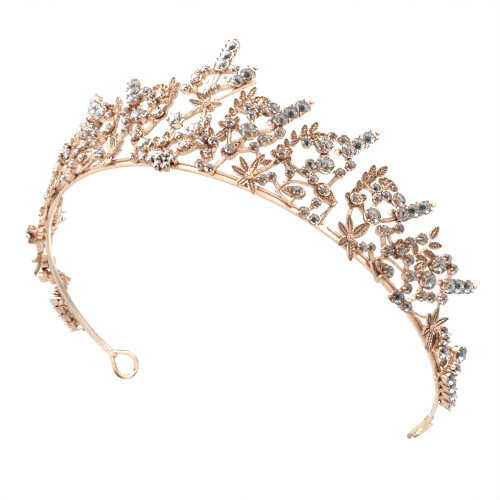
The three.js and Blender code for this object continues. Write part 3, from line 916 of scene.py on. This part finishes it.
def double_spray(c):
    """A spray with two large stones and a spire, about its flower."""
    c.flower("flower_stone", 0, 0)
    c.stem([(0, 0), (0.4, 4), (2, 8), (4.6, 11.4), (6.5, 12.4)], 0.4)
    c.leaf(0.4, 3.0, 125, 3.0, 2.0)
    c.leaf(0.6, 4.2, 62, 3.0, 1.9)
    c.leaf(1.0, 6.0, 118, 3.4, 2.1)
    c.leaf(1.7, 7.2, 55, 3.2, 2.0)
    c.leaf(2.4, 9.0, 105, 3.6, 2.2)
    c.leaf(3.8, 10.8, 88, 4.0, 2.4)
    c.leaf(4.2, 9.8, 44, 6.4, 3.8, bend=-75, lift=0.3)
    c.stud(4.4, 7, 2.9)
    c.web(5.6, 9.4, 1.5)
    c.stem([(2, 8), (8.7, 8.6), (11.8, 3.2)])
    c.web(10.6, 6.0, 1.6)
    c.big("upper_large_stone", 8.7, 8.6)
    c.big("lower_large_stone", 11.8, 3.2)
    c.stem([(8.7, 8.6), (9.4, 12.4), (12.6, 13.6), (15.2, 11.2)])
    c.stud(9.4, 12.5, 2.7)
    c.stud(12.6, 13.6, 2.9)
    c.stem([(15.2, 11.2), (17.6, 7.6), (16.4, 3.6), (15, -4)])
    c.stud(17.6, 7.6, 2.9)
    c.stud(16.4, 3.8, 2.8)
    c.scroll(13.0, 9.4, 60)
    c.stem([(0, 0), (4, -1.6), (8, -1.6), (11.8, 3.2)])
    c.stud(8, -1.6, 2.9)
    c.stud(8.1, 1.4, 2.7)
    c.stem([(8, -1.6), (11, -2.6), (15, -4)])
    c.stud(11, -2.6, 3)
    c.pear("pear_stone", 15, -4, -18, 8.4)
    c.stem([(11.8, 3.2), (16.4, 3.6)], 0.45)
    c.spire("spire_stones", 15.2, 11.2, 69)


def side_spray(c):
    """The last tall spray of the outer panel, placed on the panel itself."""
    c.flower("flower_stone", 71.9, 9.4)
    c.stem([(71.9, 9.4), (72.8, 13.4), (75.3, 17.2)])
    c.stud(72.8, 13.4, 3.0)
    c.stud(75.3, 17.2, 3.3)
    c.stem([(71.9, 9.4), (75.9, 9.4), (79, 6), (84.3, 9.7)])
    c.stud(75.9, 9.4, 3.0)
    c.pear("pear_stone", 79, 6, 60, 5.6)
    c.stem([(75.9, 9.4), (77.4, 13), (78.4, 16.4), (77.8, 20)], 0.4)
    c.leaf(77, 12.4, 135, 3.6, 2.2)
    c.leaf(77.4, 12.4, 25, 3.8, 2.3)
    c.leaf(78.3, 15.6, 16, 4.2, 2.4)
    c.leaf(78.4, 18, 42, 4.4, 2.5)
    c.leaf(77.8, 19.8, 98, 4.6, 2.6)
    c.stem([(84.3, 9.7), (83.7, 15.5), (85.2, 19.4), (89.1, 19), (91.2, 14.6)])
    c.web(86.6, 17.4, 1.6)
    c.web(80.4, 12.4, 1.9)
    c.leaf(79.2, 9.2, 62, 5.0, 3.0)
    c.leaf(81.0, 8.8, 95, 4.4, 2.4)
    c.big("upper_large_stone", 83.7, 15.5)
    c.big("lower_large_stone", 84.3, 9.7)
    c.stud(85.2, 19.6, 2.7)
    c.stud(88.8, 19.2, 3.0)
    c.stem([(84.3, 9.7), (86.1, 5.1), (89.1, 7.5), (92.5, 10.8), (91.2, 14.6)])
    c.web(87.4, 6.2, 1.3)
    c.stud(86.1, 5.1, 3.2)
    c.stud(89.1, 7.5, 3.0)
    c.stud(92.5, 10.6, 3.2)
    c.scroll(88.6, 13.4, 200)
    c.spire("spire_stones", 91.2, 14.6, 47)


def foot(c):
    """A star flower at the foot of a panel, with a grained arch over a pear."""
    c.star(0, 0, FOOT_STAR)
    c.stem([(0, 0), (4.2, 0.4), (6, 2.4), (9.2, 0.6)])
    c.stud(4.2, 0.4, 3.0)
    c.stud(6, 2.5, 2.6)
    c.arch([(9, -0.6), (10.3, 3.1), (12.8, 5.2), (17.4, 6.4), (20, 7)])
    c.stem([(9, 0), (11.5, -1.4), (15, -2.2)], 0.4)
    c.pear("arch_stone", 14.4, 2, 197, 7.0)
    c.stem([(14.4, 2), (14, -2)])


def centre_panel():
    c = Casting("centre", 1)
    c.rail(-10.5, 10.5)
    x, y = -1.6, -0.4
    for i in range(5):
        angle = math.radians(90 + i * 72)
        c.stud(x + 2.5 * math.cos(angle), y + 2.5 * math.sin(angle), 2.7)
        c.leaf(x, y, 54 + i * 72, 4.0, 2.0, w=LEAF - 0.3)
    c.ball(x, y, 3.0, 0.7)
    c.stem([(-1.6, 0), (-5, 6), (-4.4, 14.6), (1.6, 22.5)])
    c.stem([(-1.6, 0), (1.6, 5.4), (3.2, 11.7), (1.6, 22.5)])
    c.flower("left_flower_stone", -5.2, 6, 90, 3.9)
    c.big("left_large_stone", -4.5, 14.4)
    c.big("right_large_stone", 3.2, 11.7)
    c.stud(-1.2, 8.8, 2.6)
    c.stem([(-5, 6), (-1.2, 8.8), (3.2, 11.7)])
    c.pear("pear_stone", 2.2, 5.4, 33, 7.4)
    c.stud(4.8, 15.7, 2.8)
    c.stem([(3.2, 11.7), (4.8, 15.7), (4.4, 18.4)])
    c.stem([(3.2, 11.7), (7, 9.9), (10.4, 9.2), (10.9, 4.6), (9.7, 0.6)])
    c.web(6.6, 12.2, 1.5)
    c.web(8.8, 8.0, 1.9)
    c.web(10.6, 12.4, 1.8)
    c.leaf(9.6, 11.0, 60, 4.2, 2.6)
    c.leaf(8.6, 10.6, 118, 4.0, 2.4)
    c.leaf(9.2, 7.6, 205, 3.8, 2.2)
    c.leaf(10.6, 3.4, 150, 3.4, 2.0)
    c.stud(7, 9.9, 2.8)
    c.stud(10.4, 9.2, 3.2)
    c.stud(10.9, 4.6, 2.9)
    c.stud(9.7, 0.6, 3.0)
    c.stud(-6.4, -0.6, 2.6)
    c.stud(-9.4, -0.2, 2.6)
    c.stud(-11, 4.6, 4.6)
    c.stem([(-8.6, 0), (-11, 4.6), (-5.2, 6)])
    c.star(1.6, 22.5, TOP_STAR)
    c.stem([(1.6, 22.5), (0.6, 26), (0, 32), (0.3, 37)])
    c.stud(0.4, 26.2, 2.5)
    c.stud(2, 28.6, 2.4)
    c.draw(tube(smooth_path([(3.4, 24.6, LACE), (11.8, 33.8, LACE)], 6), 0.62, 8), POLISHED)
    c.stem([(0.6, 26), (2, 28.6), (7.3, 31.7)])
    c.stem([(1.6, 23), (-4.4, 27), (-7, 27.2)])
    c.stem([(-4.4, 27), (-5.6, 31), (-3.8, 34.6), (0, 36)])
    c.pear(None, -5.4, 31, 105, 6.6)
    c.stud(-7.2, 27, 2.8)
    c.stud(-4, 34.8, 2.6)
    c.stud(4.8, 36.4, 2.7)
    c.stem([(0, 36), (4.8, 36.4)])
    c.scroll(-2.6, 31.0, 90)
    c.scroll(3.0, 32.4, 10)
    c.spire("side_spire_stones", 7.3, 31.9, 62, 2)
    c.spire("spire_stones", 0.3, 37, 90)
    c.finish()


def inner_panel(side):
    c = Casting("inner", side)
    c.rail(12, 49.5)
    c.pear("base_pear_stone", 15.8, 8.2, 68, 8.8)
    c.stem([(11.8, 16.8), (14, 11), (15.8, 8), (13.4, 0)])
    c.stud(13.2, 0, 2.8)
    c.stem([(15.8, 8), (21.6, 11.8), (22.6, 15)])
    c.stud(21.8, 11.6, 2.9)
    c.stem([(21.8, 11.6), (24, 9.6), (24.4, 2.4)])
    c.leaf(24.2, 6.4, 75, 4.6, 2.2)
    c.leaf(25.2, 8.2, 16, 5.2, 2.2)
    c.stem([(29.7, 12.9), (28, 8), (24.4, 2.4)])
    c.stem([(29.7, 12.9), (34.3, 8.7), (34.3, 5.4)])
    c.stud(34.3, 8.8, 2.9)
    c.stem([(44.7, 9.2), (49.4, 8.3)])
    c.stem([(49.2, 8.4), (48.7, 0)], 0.4)
    c.stem([(49.2, 8.4), (47.4, 0.4)], 0.3)
    c.stem([(45, 4.4), (43.3, -0.2)])
    c.stud(44.8, 4.4, 3.0)
    c.stud(43.3, -0.2, 3.3)
    c.stud(46.7, -0.3, 3.0)
    c.move_to(11.8, 16.8, 0, "inner_trefoil")
    trefoil_spray(c)
    c.move_to(29.7, 12.9, 0, "inner_double")
    double_spray(c)
    c.move_to(24.4, 2.4, 0, "inner_foot")
    foot(c)
    c.finish()


def outer_panel(side):
    c = Casting("outer", side)
    c.rail(51.5, 89)
    c.stem([(53.4, 12.5), (54.6, 7), (58.2, 1.9)])
    c.stem([(59.8, 11.4), (60.6, 6), (58.2, 1.9)])
    c.stem([(64.6, 10.8), (69, 6.3), (71.9, 9.4)])
    c.stud(69, 6.3, 3.2)
    c.stem([(69, 6.3), (69.6, 2.6)])
    c.stem([(79, 6), (80.8, 2.8), (78.9, -2.6)])
    c.stud(80.8, 2.8, 3.1)
    c.stem([(86.1, 5.1), (83.2, -2)])
    c.arch([(83.6, -1.6), (88.5, 0.4), (92, 2.2), (94.8, 4.6), (95, 7), (92.6, 10.4)], 0.4)
    c.stem([(65.6, 11.6), (69.4, 9.4), (71.9, 9.4)], 0.5)
    c.move_to(0, 0, 0, "outer", STANDOFF)
    c.stud(78.9, -2.6, 4.0)
    c.stud(83.2, -2, 3.2)
    c.move_to(53.4, 12.5, 3, "outer_trefoil")
    trefoil_spray(c)
    c.move_to(0, 0, 0, "outer_side")
    side_spray(c)
    c.move_to(58.2, 1.9, 8, "outer_foot")
    foot(c)
    c.finish()


def end_panel(side):
    c = Casting("end", side)
    c.rail(91.5, 130)
    c.move_to(95.5, 1.4, 8, "end", STANDOFF)
    c.star(0, 0, FOOT_STAR)
    c.move_to(0, 0, 0, "end", STANDOFF)
    c.stem([(95.5, 1.4), (99.1, 4), (101.8, 3.3), (104.3, 0.6)])
    c.web(101.2, 1.6, 1.5)
    c.stud(99.1, 4, 3.0)
    c.stud(101.8, 3.3, 3.0)
    c.ball(103.2, 7, 3.4, 0.55)
    c.stem([(101.8, 3.3), (103.2, 7)], 0.4, 3.0)
    c.stud(104.3, 0.6, 4.0)
    c.stem([(104.3, 0.6), (106.6, 4), (110.3, 6.3), (113.6, 5.9), (115, 3.9), (115, 0.2)])
    c.web(107.0, 3.6, 1.5)
    c.big("large_stone", 110.3, 6.3)
    c.stem([(110.3, 6.3), (114.2, 8.6)], 0.6)
    c.ball(114.4, 8.7, 1.8, 0.8)
    c.stem([(114.9, 0), (114.9, -2)], 0.4)
    c.ball(114.9, -2.1, 1.6, 0.8)
    c.stud(115, 3.9, 3.1)
    c.web(112.4, 2.6, 1.5)
    c.row("row_stones", 115.4, 0.2, 0, 4, 3.8, 4.0)
    c.ball(130.2, 0.2, 1.8, 0.8)
    c.finish()


band_wire()
centre_panel()
for hand in (1, -1):
    inner_panel(hand)
    outer_panel(hand)
    end_panel(hand)


# ---------------------------------------------------------------- studio


def pale_floor():
    """A floor seen from above only, so that a camera below it still sees the tiara."""
    mesh = bpy.data.meshes.new("studio_floor")
    half = 3.0
    corners = [(-half, -half, 0), (half, -half, 0), (half, half, 0), (-half, half, 0)]
    mesh.from_pydata(corners, [], [(0, 1, 2, 3)])
    material, nodes, links, shader = node_material("floor_paper")
    place = in_millimetres(nodes, links)
    tone = noise_texture(nodes, links, place, 0.02)
    colour = mix_colour(nodes, links, tone, (0.80, 0.80, 0.80), (0.84, 0.84, 0.84))
    links.new(colour, shader.inputs["Base Color"])
    shader.inputs["Roughness"].default_value = 0.9
    geometry = nodes.new("ShaderNodeNewGeometry")
    clear = nodes.new("ShaderNodeBsdfTransparent")
    mix = nodes.new("ShaderNodeMixShader")
    links.new(geometry.outputs["Backfacing"], mix.inputs["Fac"])
    links.new(shader.outputs[0], mix.inputs[1])
    links.new(clear.outputs[0], mix.inputs[2])
    links.new(mix.outputs[0], nodes["Material Output"].inputs["Surface"])
    mesh.materials.append(material)
    floor = bpy.data.objects.new("studio_floor", mesh)
    bpy.context.scene.collection.objects.link(floor)


def studio_world():
    """White to the camera. Reflections see bright panels, the gaps between them and a dark horizon."""
    world = bpy.data.worlds.new("studio")
    bpy.context.scene.world = world
    world.use_nodes = True
    nodes, links = world.node_tree.nodes, world.node_tree.links
    background = nodes["Background"]
    coordinates = nodes.new("ShaderNodeTexCoord")
    apart = nodes.new("ShaderNodeSeparateXYZ")
    links.new(coordinates.outputs["Generated"], apart.inputs[0])
    height = ramp(nodes, links, apart.outputs["Z"], (-1.0, 0.0), (1.0, 1.0))
    bands = nodes.new("ShaderNodeValToRGB")
    bands.color_ramp.interpolation = "EASE"
    # Brightness by height: 0 is straight down, 0.5 is level and 1 is straight up.
    levels = (
        (0.0, 1.0), (0.50, 0.95), (0.54, 0.10), (0.62, 0.08),
        (0.67, 1.0), (0.85, 1.0), (0.89, 0.25), (0.95, 0.9),
    )
    stops = bands.color_ramp.elements
    while len(stops) < len(levels):
        stops.new(0.5)
    for stop, (place, level) in zip(stops, levels):
        stop.position = place
        stop.color = (level, level, level, 1.0)
    links.new(height, bands.inputs["Fac"])
    patches = nodes.new("ShaderNodeTexNoise")
    patches.inputs["Scale"].default_value = 2.6
    patches.inputs["Detail"].default_value = 0.5
    links.new(coordinates.outputs["Generated"], patches.inputs["Vector"])
    gaps = ramp(nodes, links, patches.outputs["Fac"], (0.40, 0.15), (0.48, 1.0))
    broken = multiply(nodes, links, bands.outputs["Color"], gaps)
    reflected = multiply(nodes, links, broken, 1.5)
    path = nodes.new("ShaderNodeLightPath")
    mix = nodes.new("ShaderNodeMix")
    mix.data_type = "FLOAT"
    links.new(path.outputs["Is Camera Ray"], mix.inputs[0])
    links.new(reflected, mix.inputs[2])
    mix.inputs[3].default_value = 1.0
    links.new(mix.outputs[0], background.inputs["Strength"])
    background.inputs["Color"].default_value = (1, 1, 1, 1)


def soft_light(name, location, size, power):
    data = bpy.data.lights.new(name, "AREA")
    data.shape = "DISK"
    data.size = size
    data.energy = power
    light = bpy.data.objects.new(name, data)
    light.location = location
    light.rotation_euler = (BAND_CENTRE - Vector(location)).to_track_quat("-Z", "Y").to_euler()
    bpy.context.scene.collection.objects.link(light)


def photo_camera():
    """In front of the tiara, to its right and below the band, looking up at it and rolled over."""
    around, rise, roll = (math.radians(a) for a in (35.5, 31.6, 31.6))
    distance = 0.600
    # The focal length, the width of the picture and the aim from the band's centre, in pixels.
    focal, width = 1860.6, 500
    aside, above = 13.2, 72.6
    level = math.cos(rise)
    forward = Vector((-math.sin(around) * level, math.cos(around) * level, math.sin(rise)))
    sideways = Vector((math.cos(around), math.sin(around), 0))
    upward = sideways.cross(forward)
    right = sideways * math.cos(roll) + upward * math.sin(roll)
    up = -sideways * math.sin(roll) + upward * math.cos(roll)
    aim = (forward * focal + right * aside + up * above).normalized()
    right = (right - aim * right.dot(aim)).normalized()
    up = right.cross(aim)
    data = bpy.data.cameras.new("photo_camera")
    data.sensor_width = 36.0
    data.lens = focal / width * data.sensor_width
    camera = bpy.data.objects.new("photo_camera", data)
    matrix = Matrix((right, up, -aim)).transposed().to_4x4()
    matrix.translation = BAND_CENTRE - forward * distance
    camera.matrix_world = matrix
    bpy.context.scene.collection.objects.link(camera)
    bpy.context.scene.camera = camera


pale_floor()
studio_world()
soft_light("key_light", (-0.5, -0.6, 0.5), 0.5, 6.0)
soft_light("fill_light", (0.6, -0.5, 0.3), 0.6, 3.0)
photo_camera()
bpy.context.scene.view_settings.view_transform = "Standard"
